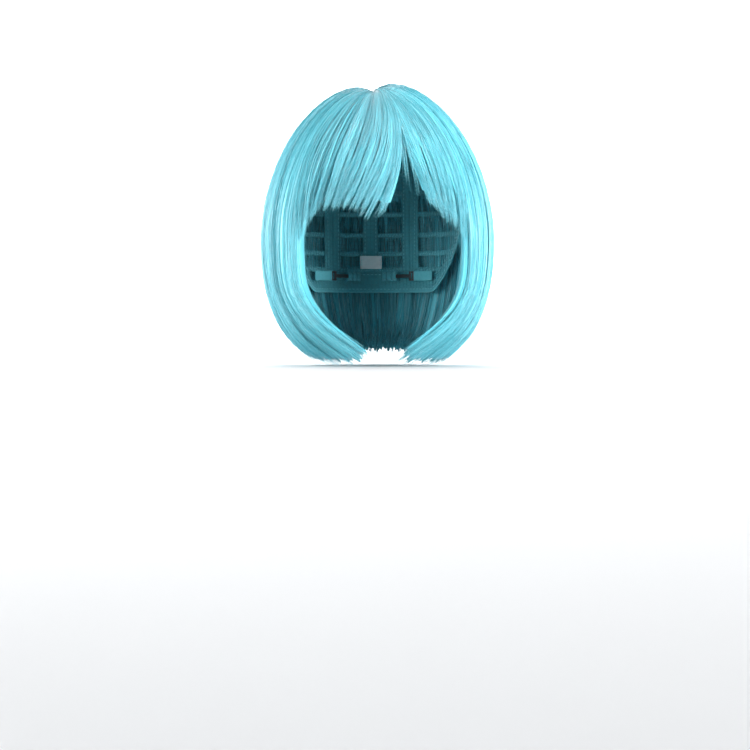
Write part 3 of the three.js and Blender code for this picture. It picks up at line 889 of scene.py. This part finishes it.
HAIR_NODES = {
    "fringe_right": ["fringe_right"],
    "fringe_left": ["fringe_left"],
    "side_left": ["side_hair_left_outer", "side_hair_left_inner", "crown_hair_left"],
    "side_right": ["side_hair_right_outer", "side_hair_right_inner", "crown_hair_right"],
    "back": ["back_hair_outer", "back_hair_middle", "back_hair_nape", "crown_hair_back"],
}

for name, section in SECTIONS.items():
    if section.body == "fringe":
        scale = section.arc / FRINGE_ARC
        made = make_layers(section, random, scale, FRINGE_MASS, FRINGE_LAYERS, **FRINGE_COMBING)
    else:
        made = make_layers(section, random, section.arc / SIDE_ARC, LONG_MASS, LONG_LAYERS)
    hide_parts(*HAIR_NODES[name])

make_wisp(fringe_section("fringe_wisp", (11, 17), (8, 19), wisp_tips, WISP_ARC), random)


# ------------------------------------------------------------------ the cap

# The cap's rim, in degrees down from the crown, and the azimuths between which it comes down.
FOREHEAD_RIM = 52.0
EAR_RIM = 75.0
NAPE_RIM = 125.0
TEMPLE_START, TEMPLE_END = 20, 75
NECK_START, NECK_END = 95, 130
NET_INSIDE_RIM = 1.2
FRONT_BAND_END = 52
NAPE_BAND_START = 118
BAND_SEAM = 0.4
FRINGE_TRACKS = (31, 42)
BACK_TRACKS = (46, 56, 66, 76, 86, 96, 105, 113)
FRINGE_TRACK_END = 46
BACK_TRACK_START = 51
NET_MIDDLE = 0.3 * MM
EAR_TO_EAR_RADIUS = 85 * MM
NET_CELL = 3.4 * MM
NET_THREAD = 0.42 * MM
BAND_OFFSET = 0.9 * MM
BAND_THICKNESS = 0.8 * MM
BAND_WIDTH = 11 * MM
NAPE_BAND_WIDTH = 20 * MM
RIB_WIDTH = 13 * MM
RIB_SPACING = 33 * MM
RIB_GAP = 2 * MM
TRACK_OFFSET = 2 * MM
TRACK_HEIGHT = 4 * MM
TRACK_THICKNESS = 1 * MM
FILM_HALF_WIDTH = 17  # in millimetres, as its length is
FILM_HALF_LENGTH = 37
LABEL_HALF = 10 * MM
LABEL_HEIGHT = 12 * MM


def on_head(azimuth, polar, offset):
    """Points on the head's egg: an azimuth, degrees down from the crown, and a standoff."""
    turn, down = np.radians(azimuth), np.radians(polar)
    ring = np.sin(down)
    x = (HEAD_SIDE + offset) * ring * np.sin(turn)
    y = -(HEAD_LONG + offset) * ring * np.cos(turn)
    return np.stack([x, y, (HEAD_TOP + offset) * np.cos(down) + 0 * x], axis=-1)


def rim_polar(azimuth):
    """How far down from the crown the cap's rim is, in degrees."""
    away = np.abs((azimuth + 540) % 360 - 180)
    to_ear = (EAR_RIM - FOREHEAD_RIM) * smooth(away, TEMPLE_START, TEMPLE_END)
    to_nape = (NAPE_RIM - EAR_RIM) * smooth(away, NECK_START, NECK_END)
    return FOREHEAD_RIM + to_ear + to_nape


def choose(*pieces):
    """Selects these pieces and nothing else, with the first one active."""
    bpy.ops.object.select_all(action="DESELECT")
    for piece in pieces:
        piece.select_set(True)
    bpy.context.view_layer.objects.active = pieces[0]


def modify(piece, kind, **settings):
    """One modifier, set and applied."""
    choose(piece)
    modifier = piece.modifiers.new(kind.lower(), kind)
    for setting, value in settings.items():
        setattr(modifier, setting, value)
    bpy.ops.object.modifier_apply(modifier=modifier.name)


def finished(piece, name, material, nodes, body="root"):
    """Names a piece and says what it rides on, which CAD nodes it stands for."""
    piece.name = name
    piece.data.name = name
    if not piece.data.materials:
        piece.data.materials.append(material)
    if body:
        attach(piece, body)
    if nodes:
        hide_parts(*nodes)


def cloth(points, thickness, soft_edge=0.2 * MM):
    """A flat cloth laid on a grid of points (row, column), then thickened and softened."""
    rows, columns = points.shape[:2]
    bpy.ops.object.select_all(action="DESELECT")
    bpy.ops.mesh.primitive_grid_add(x_subdivisions=columns - 1, y_subdivisions=rows - 1, size=1)
    piece = bpy.context.object
    mesh = piece.data
    mesh.vertices.foreach_set("co", points.astype(np.float32).ravel())
    along = np.linalg.norm(np.diff(points[rows // 2], axis=0), axis=-1)
    across = np.linalg.norm(np.diff(points[:, columns // 2], axis=0), axis=-1)
    u = np.concatenate([[0], np.cumsum(along)]) / MM
    v = np.concatenate([[0], np.cumsum(across)]) / MM
    place = np.stack(np.broadcast_arrays(u[None, :], v[:, None]), axis=-1).reshape(-1, 2)
    corner = np.empty(len(mesh.loops), dtype=np.int32)
    mesh.loops.foreach_get("vertex_index", corner)
    layer = mesh.uv_layers[0]
    layer.name = "Cloth"
    layer.data.foreach_set("uv", place[corner].astype(np.float32).ravel())
    mesh.update()
    modify(piece, "SOLIDIFY", thickness=thickness, offset=1.0)
    modify(piece, "BEVEL", width=soft_edge, segments=2, limit_method="ANGLE")
    bpy.ops.object.shade_smooth_by_angle(angle=math.radians(50))
    return piece


def joined(pieces):
    """Several pieces made one, the first."""
    choose(*pieces)
    bpy.ops.object.join()
    return pieces[0]


def thread(name, paths, width):
    """Round sewing thread along paths (thread, step, xyz)."""
    count, steps, _ = paths.shape
    size = np.full((count, steps), width)
    size[:, [0, -1]] *= 0.4
    return tubes(name, paths, size, size, THREAD, np.linspace(0, 1, count), sewing_thread)


def running_stitches(name, lines, length=2.2 * MM, pitch=3.4 * MM, width=0.45 * MM):
    """Short stitches along lines of points, all in one piece."""
    made = []
    for line in lines:
        steps = np.linalg.norm(np.diff(line, axis=0), axis=-1)
        far = np.concatenate([[0], np.cumsum(steps)])
        starts = np.arange(pitch / 2, far[-1] - length, pitch)
        at = starts[:, None] + np.linspace(0, length, 4)[None, :]
        made.append(np.stack([np.interp(at, far, line[:, k]) for k in range(3)], axis=-1))
    stitches = thread(name, np.concatenate(made), width)
    finished(stitches, name, None, [])


def nets():
    """The cap's net: a sphere's grid with its poles at the ears, cut at the rim and the ribs."""
    panels = (
        ("crown_net", ((RIB_SPACING, 1), (-RIB_SPACING, -1))),
        ("side_net_left", ((RIB_SPACING, -1),)),
        ("side_net_right", ((-RIB_SPACING, 1),)),
    )
    for name, cuts in panels:
        bpy.ops.object.select_all(action="DESELECT")
        bpy.ops.mesh.primitive_uv_sphere_add(
            segments=int(2 * math.pi * HEAD_LONG / NET_CELL),
            ring_count=int(math.pi * EAR_TO_EAR_RADIUS / NET_CELL),
            radius=1,
            rotation=(0, math.pi / 2, 0),
        )
        net = bpy.context.object
        bpy.ops.object.transform_apply(rotation=True)
        size = np.array([HEAD_SIDE, HEAD_LONG, HEAD_TOP]) + NET_MIDDLE
        points = np.empty(len(net.data.vertices) * 3, dtype=np.float32)
        net.data.vertices.foreach_get("co", points)
        points = points.reshape(-1, 3) * size
        net.data.vertices.foreach_set("co", points.astype(np.float32).ravel())
        azimuth = np.degrees(np.arctan2(points[:, 0] / size[0], -points[:, 1] / size[1]))
        polar = np.degrees(np.arccos(np.clip(points[:, 2] / size[2], -1, 1)))
        below = polar > rim_polar(azimuth) - NET_INSIDE_RIM
        bpy.ops.object.mode_set(mode="EDIT")
        bpy.ops.mesh.select_mode(type="VERT")
        bpy.ops.mesh.select_all(action="DESELECT")
        bpy.ops.object.mode_set(mode="OBJECT")
        net.data.vertices.foreach_set("select", below)
        bpy.ops.object.mode_set(mode="EDIT")
        bpy.ops.mesh.delete(type="VERT")
        for x, removed in cuts:
            bpy.ops.mesh.select_all(action="SELECT")
            bpy.ops.mesh.bisect(plane_co=(x, 0, 0), plane_no=(removed, 0, 0), clear_outer=True)
        bpy.ops.object.mode_set(mode="OBJECT")
        modify(net, "WIREFRAME", thickness=NET_THREAD, use_even_offset=False)
        bpy.ops.object.shade_smooth_by_angle(angle=math.radians(50))
        finished(net, f"{name}_mesh", net_nylon, [name])


def band_points(start, end, edge, width, offset, rows=3, stride=2.5):
    azimuth = np.linspace(start, end, int((end - start) / stride) + 1)
    above = np.linspace(0, 1, rows) * width
    polar = edge(azimuth)[None, :] - np.degrees(above[:, None] / HEAD_TOP)
    return on_head(azimuth[None, :], polar, offset)


def edge_lines(points, inset=0.14, depth=1.05 * MM):
    """Two sewing lines just inside a band's long edges, drawn in to the head's side of it."""
    low, high = points[0], points[-1]
    lines = [low + (high - low) * inset, high + (low - high) * inset]
    return [line - outwards(line) * depth for line in lines]


def bands():
    ahead, behind = FRONT_BAND_END + BAND_SEAM, NAPE_BAND_START - BAND_SEAM
    spans = (
        ("front_band", -FRONT_BAND_END, FRONT_BAND_END, BAND_WIDTH),
        ("side_band_left", ahead, behind, BAND_WIDTH),
        ("side_band_right", -behind, -ahead, BAND_WIDTH),
        ("nape_band", NAPE_BAND_START, 360 - NAPE_BAND_START, NAPE_BAND_WIDTH),
    )
    for name, start, end, width in spans:
        points = band_points(start, end, rim_polar, width, BAND_OFFSET, rows=5)
        band = cloth(points, BAND_THICKNESS)
        finished(band, f"{name}_elastic", elastic_tape, [name])
        running_stitches(f"{name}_stitches", edge_lines(points))


def rib_points(x):
    """The rows and columns of a rib that runs front to back at a distance from the middle."""
    section = math.sqrt(1 - (x / HEAD_SIDE) ** 2)
    at_rim = math.degrees(math.asin(abs(x) / HEAD_SIDE))
    front, nape = (
        rim_polar(np.array(azimuth)) - math.degrees((band + RIB_GAP) / HEAD_TOP)
        for azimuth, band in ((at_rim, BAND_WIDTH), (180 - at_rim, NAPE_BAND_WIDTH))
    )
    start = math.asin(min(1, math.cos(math.radians(front)) / section))
    end = math.pi - math.asin(math.cos(math.radians(nape)) / section)
    turn = np.linspace(start, end, 60)[:, None]
    across = x + np.linspace(-0.5, 0.5, 4)[None, :] * RIB_WIDTH
    share = np.sqrt(1 - (across / (HEAD_SIDE + BAND_OFFSET)) ** 2)
    y = -(HEAD_LONG + BAND_OFFSET) * share * np.cos(turn)
    z = (HEAD_TOP + BAND_OFFSET) * share * np.sin(turn)
    return np.stack([across + 0 * turn, y, z], axis=-1)


def ribs():
    for name, x in (("rib_centre", 0), ("rib_left", RIB_SPACING), ("rib_right", -RIB_SPACING)):
        points = rib_points(x)
        rib = cloth(points, BAND_THICKNESS)
        finished(rib, f"{name}_elastic", elastic_tape, [name])
        running_stitches(f"{name}_stitches", edge_lines(points.transpose(1, 0, 2)))


def weft_tracks():
    """Folded tapes, each with the zigzag that holds its hair."""
    tracks = [
        (f"fringe_track_{number}", polar, -FRINGE_TRACK_END, FRINGE_TRACK_END)
        for number, polar in enumerate(FRINGE_TRACKS, 1)
    ]
    for number, polar in enumerate(BACK_TRACKS, 1):
        start = BACK_TRACK_START
        while rim_polar(np.array(start)) < polar + math.degrees(BAND_WIDTH / HEAD_TOP) / 2:
            start += 1
        tracks.append((f"back_track_{number}", polar, start, 360 - start))
    for name, polar, start, end in tracks:

        def edge(azimuth):
            return polar + 0 * azimuth

        points = band_points(start, end, edge, TRACK_HEIGHT, TRACK_OFFSET, stride=3)
        tape = cloth(points, TRACK_THICKNESS)
        finished(tape, f"{name}_tape", weft_tape, [name])
        turns = int((end - start) * 1.1)
        azimuth = np.linspace(start + 1, end - 1, turns)
        swing = np.where(np.arange(turns) % 2, 0.8, 3.2) * MM
        line = on_head(azimuth, polar - np.degrees(swing / HEAD_TOP), TRACK_OFFSET - 0.1 * MM)
        zigzag = thread(f"{name}_zigzag", line[None], 0.4 * MM)
        finished(zigzag, f"{name}_zigzag", None, [])


def parting_piece():
    """The skin-coloured film that shows along the parting."""
    out = TRACK_OFFSET
    x = PARTING_X + np.linspace(-FILM_HALF_WIDTH, FILM_HALF_WIDTH, 18)[None, :] * MM
    y = np.linspace(-FILM_HALF_LENGTH, FILM_HALF_LENGTH, 38)[:, None] * MM
    spread = (x / (HEAD_SIDE + out)) ** 2 + (y / (HEAD_LONG + out)) ** 2
    z = (HEAD_TOP + out) * np.sqrt(1 - spread)
    points = np.stack([x + 0 * y, y + 0 * x, z], axis=-1)
    film = cloth(points, 0.5 * MM, soft_edge=0.15 * MM)
    finished(film, "parting_skin_film", parting_film, ["parting_skin"])


def size_label():
    half = math.degrees(LABEL_HALF / HEAD_SIDE)
    edge_level = NAPE_RIM - math.degrees((NAPE_BAND_WIDTH + 2 * MM) / HEAD_TOP)

    def edge(azimuth):
        return edge_level + 0 * azimuth

    points = band_points(180 - half, 180 + half, edge, LABEL_HEIGHT, -2 * MM, 8, stride=1)
    label = cloth(points, 0.4 * MM, soft_edge=0.12 * MM)
    finished(label, "size_label_satin", label_satin, ["size_label"])
    ends = points.transpose(1, 0, 2)
    lines = [(line - outwards(line) * 0.1 * MM)[1:-1] for line in (ends[1], ends[-2])]
    running_stitches(
        "size_label_stitches", lines, length=1.4 * MM, pitch=2.1 * MM, width=0.35 * MM
    )


# An ear tab hangs from the middle of its top edge, leans out and is turned to face the temple.
TAB_TOP = np.array([67.902, -31.634, 25.684]) * MM
TAB_LEAN = math.radians(3.836)
TAB_TURN = math.radians(74.127)
TAB_LENGTH = 38 * MM
TAB_HALF = 12 * MM
TAB_THICKNESS = 2.2 * MM
TAB_CLOTH = 0.7 * MM
EDGE_INSET = 0.4 * MM
BINDING = 2 * MM


def on_temple(points, side):
    """From the tab's own frame (hanging down -Y from its top edge) to its place."""
    lean = math.pi / 2 - TAB_LEAN
    x, y, z = np.moveaxis(points, -1, 0)
    y, z = (
        y * math.cos(lean) - z * math.sin(lean),
        y * math.sin(lean) + z * math.cos(lean),
    )
    x, y = (
        x * math.cos(TAB_TURN) - y * math.sin(TAB_TURN),
        x * math.sin(TAB_TURN) + y * math.cos(TAB_TURN),
    )
    placed = np.stack([x, y, z], axis=-1) + TAB_TOP
    return placed * np.array([side, 1, 1])


def tab_half_width(down):
    """The tab's half width at a distance below its top edge."""
    shoulder = TAB_LENGTH - TAB_HALF
    straight = TAB_HALF * (1 - 0.1 * np.clip(down / shoulder, 0, 1))
    past = np.clip((down - shoulder) / TAB_HALF, 0, 1)
    return straight * np.sqrt(np.clip(1 - past**2.2, 0.0004, 1))


def ear_tabs():
    """Tabs of two cloths with a bound edge. The stay lies between them."""
    down = np.linspace(0, 1, 30) ** 0.8 * (TAB_LENGTH - EDGE_INSET)
    half = np.maximum(tab_half_width(down) - EDGE_INSET, 0.3 * MM)
    x = np.linspace(-1, 1, 17)[None, :] * half[:, None]
    edge = np.stack([tab_half_width(down), -down, 0 * down], axis=-1)
    outline = np.concatenate([edge, (edge * [-1, 1, 1])[::-1]]) * [0.985, 0.985, 1]
    outline[:, 2] = TAB_THICKNESS / 2
    size = np.full((1, len(outline)), BINDING)
    for side, word in ((1, "left"), (-1, "right")):
        name = f"ear_tab_{word}"
        parts = []
        for height in (TAB_THICKNESS - 0.75 * MM, 0.05 * MM):
            grid = np.stack([x, -down[:, None] + 0 * x, np.full_like(x, height)], axis=-1)
            sheet = grid[::-1] if side > 0 else grid
            part = cloth(on_temple(sheet, side), TAB_CLOTH, soft_edge=0.25 * MM)
            part.data.materials.append(tab_cloth)
            parts.append(part)
        binding = tubes(
            f"{name}_binding", on_temple(outline, side)[None], size, size * 1.05,
            round_section(np.linspace(0, 2 * math.pi, 9)[:-1]), np.array([0.5]), sewing_thread,
        )
        body = f"tab_{word}"
        finished(joined(parts), f"{name}_cloth", None, [name], body)
        finished(binding, f"{name}_binding", None, [], body)


# An adjuster lies along a chord inside the nape band, from the strap's sewn end to the pockets.
CHORD_START = np.array([49.72, 50.19, -44.0]) * MM
CHORD_ALONG = np.array([-0.801565, 0.597908, 0.0])
CHORD_OUT = np.array([0.597908, 0.801565, 0.0])
STRAP_LENGTH = 18 * MM
STRAP_HEIGHT = 8 * MM
STRAP_THICKNESS = 0.8 * MM
POCKETS_START = 35.6 * MM
POCKET_PITCH = 5 * MM
POCKET_LOOP = 3 * MM
SHIRRING_PITCH = 1.1 * MM


def on_chord(points, side):
    """From an adjuster's own frame (X along it, Y up, Z out to the band) to its place."""
    x, y, z = np.moveaxis(points, -1, 0)
    placed = CHORD_START + x[..., None] * CHORD_ALONG + z[..., None] * CHORD_OUT
    placed[..., 2] += y
    return placed * np.array([side, 1, 1])


def grid_on_chord(x, y, z, side):
    """A cloth's grid on the chord, in the order that faces it outwards on either side."""
    grid = np.stack(np.broadcast_arrays(x[None, :], y[:, None], z), axis=-1)
    placed = on_chord(grid, side)
    return placed if side < 0 else placed[:, ::-1]


def adjusters():
    """Straps shirred along their length, hooks, and tapes with three raised loops each."""
    half_loop = np.array([(3.6, 0), (2.9, -0.1), (2.45, -0.5), (2.3, -1.3), (1.5, -1.75)]) * MM
    middle = np.array([(0, -1.85)]) * MM
    loop_y, loop_z = np.concatenate([half_loop * [-1, 1], middle, half_loop[::-1]]).T
    for side, word in ((1, "left"), (-1, "right")):
        x = np.linspace(0, STRAP_LENGTH, 46)
        y = np.linspace(-0.5, 0.5, 9) * STRAP_HEIGHT
        shirring = 0.1 * MM * np.sin(x / SHIRRING_PITCH * 2 * math.pi)
        z = -STRAP_THICKNESS + 0.1 * MM + np.broadcast_to(shirring[None, :], (9, 46))
        strap = cloth(grid_on_chord(x, y, z, side), STRAP_THICKNESS - 0.2 * MM)
        strap_name = f"adjuster_strap_{word}"
        finished(
            strap, f"{strap_name}_elastic", elastic_tape, [strap_name],
            body=None,
        )
        sewn = on_chord(np.array([1.5 * MM, 0, 0]), side)
        hooked = on_chord(np.array([STRAP_LENGTH - 0.5 * MM, 0, 0]), side)
        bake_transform(strap)

        x = POCKETS_START + np.linspace(0, 3 * POCKET_PITCH, 8)
        y = np.linspace(-0.5, 0.5, 5) * STRAP_HEIGHT
        parts = [cloth(grid_on_chord(x, y, np.full((5, 8), 0.5 * MM), side), 0.6 * MM)]
        for i in range(3):
            x = POCKETS_START + i * POCKET_PITCH + np.linspace(0, POCKET_LOOP, 4)
            z = np.broadcast_to(loop_z[:, None], (len(loop_z), 4))
            parts.append(cloth(grid_on_chord(x, loop_y, z, side), 0.5 * MM, 0.1 * MM))
        for part in parts:
            part.data.materials.append(elastic_tape)
        pockets_name = f"adjuster_pockets_{word}"
        pockets = joined(parts)
        finished(pockets, f"{pockets_name}_elastic", None, [pockets_name])

        hook_name = f"adjuster_hook_{word}"
        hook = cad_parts[hook_name].copy()
        hook.data = hook.data.copy()
        hook.parent = None
        bpy.context.scene.collection.objects.link(hook)
        hook.data.materials.clear()
        choose(hook)
        bpy.ops.object.mode_set(mode="EDIT")
        bpy.ops.mesh.select_all(action="SELECT")
        bpy.ops.mesh.remove_doubles(threshold=0.01 * MM)
        bpy.ops.mesh.dissolve_limited(angle_limit=math.radians(3))
        bpy.ops.object.mode_set(mode="OBJECT")
        modify(hook, "BEVEL", width=0.25 * MM, segments=3, limit_method="ANGLE")
        bpy.ops.object.shade_smooth_by_angle(angle=math.radians(40))
        finished(
            hook, f"{hook_name}_moulding", hook_plastic, [hook_name],
            body=f"hook_{word}",
        )


def steel_stays():
    """The stays keep their shape and take a brushed steel."""
    for word in ("left", "right"):
        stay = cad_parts[f"ear_tab_stay_{word}"]
        for seat in stay.material_slots:
            seat.material = spring_steel


nets()
bands()
ribs()
weft_tracks()
parting_piece()
size_label()
ear_tabs()
adjusters()
steel_stays()


# ------------------------------------------------------------------ floor, light and camera


SWEEP_FRONT = -3.0
SWEEP_BENDS_AT = 0.9
SWEEP_BEND = 1.2
SWEEP_TOP = 5.0
SWEEP_HALF_WIDTH = 2.2

ROOM_LIGHT = 0.46
ROOM_SEEN = 1.0


def pale_sweep():
    """A floor that curves up into a backdrop, with no edge between them."""
    material, nodes, links, shader = new_material("pale_paper")
    shader.inputs["Base Color"].default_value = (0.86, 0.87, 0.88, 1)
    shader.inputs["Roughness"].default_value = 0.9
    bpy.ops.object.select_all(action="DESELECT")
    bpy.ops.mesh.primitive_plane_add(size=1, location=(0, 0, cad_low.z - 1 * MM))
    sweep = bpy.context.object
    sweep.name = "pale_sweep"
    mesh = sweep.data
    curve = np.linspace(0.1, math.pi / 2, 12)
    profile = [(SWEEP_FRONT, 0), (SWEEP_BENDS_AT, 0)]
    profile += [
        (SWEEP_BENDS_AT + SWEEP_BEND * math.sin(a), SWEEP_BEND * (1 - math.cos(a)))
        for a in curve
    ]
    profile += [(SWEEP_BENDS_AT + SWEEP_BEND, SWEEP_TOP)]
    mesh.clear_geometry()
    points = [(x, y, z) for y, z in profile for x in (-SWEEP_HALF_WIDTH, SWEEP_HALF_WIDTH)]
    faces = [(2 * i, 2 * i + 1, 2 * i + 3, 2 * i + 2) for i in range(len(profile) - 1)]
    mesh.from_pydata(points, [], faces)
    mesh.polygons.foreach_set("use_smooth", [True] * len(mesh.polygons))
    mesh.materials.append(material)


def soft_light(name, place, size, power, aim):
    light = bpy.data.lights.new(name, "AREA")
    light.shape = "DISK"
    light.size = size
    light.energy = power
    lamp = bpy.data.objects.new(name, light)
    bpy.context.scene.collection.objects.link(lamp)
    lamp.location = place
    lamp.rotation_euler = (Vector(aim) - Vector(place)).to_track_quat("-Z", "Y").to_euler()


# Each light's place, size in metres, power in watts and aim.
LIGHTS = {
    "key_light": ((-0.7, -1.7, 1.1), 0.9, 4, (0, 0, 0)),
    "left_rim_light": ((-1.6, 0.5, 0.1), 1.0, 24, (0, 0, 0)),
    "right_rim_light": ((1.6, 0.5, 0.1), 1.0, 17, (0, 0, 0)),
    "low_left_light": ((-1.0, -1.5, -0.07), 0.8, 30, (0, 0, -0.06)),
    "low_right_light": ((1.2, -1.3, -0.09), 0.8, 82, (0, 0, -0.06)),
    "backdrop_light": ((0, 0.7, 1.7), 1.2, 90, (0, 2.1, 0.9)),
}


def studio():
    """A soft, pale room. The camera sees it whiter than it lights the wig."""
    pale_sweep()
    world = bpy.data.worlds.new("soft_room")
    world.use_nodes = True
    nodes, links = world.node_tree.nodes, world.node_tree.links
    background = nodes["Background"]
    background.inputs["Color"].default_value = (0.97, 0.985, 1.0, 1)
    seen = nodes.new("ShaderNodeLightPath").outputs["Is Camera Ray"]
    strength = ranged(nodes, links, seen, (0, 1), (ROOM_LIGHT, ROOM_SEEN))
    links.new(strength, background.inputs["Strength"])
    bpy.context.scene.world = world
    bpy.context.scene.view_settings.view_transform = "Standard"
    for name, settings in LIGHTS.items():
        soft_light(name, *settings)


CAMERA_DISTANCE = 2.0
CAMERA_AZIMUTH = -3.5
CAMERA_LEVEL = cad_low.z + 30 * MM
VIEW_WIDTH = 0.615


def camera():
    data = bpy.data.cameras.new("camera")
    data.sensor_width = 36
    data.lens = data.sensor_width * CAMERA_DISTANCE / VIEW_WIDTH
    data.shift_x = -0.003
    data.shift_y = -0.063
    seat = bpy.data.objects.new("camera", data)
    bpy.context.scene.collection.objects.link(seat)
    turn = math.radians(CAMERA_AZIMUTH)
    seat.location = (
        CAMERA_DISTANCE * math.sin(turn),
        -CAMERA_DISTANCE * math.cos(turn),
        CAMERA_LEVEL,
    )
    seat.rotation_euler = (math.radians(90), 0, turn)
    bpy.context.scene.camera = seat


studio()
camera()
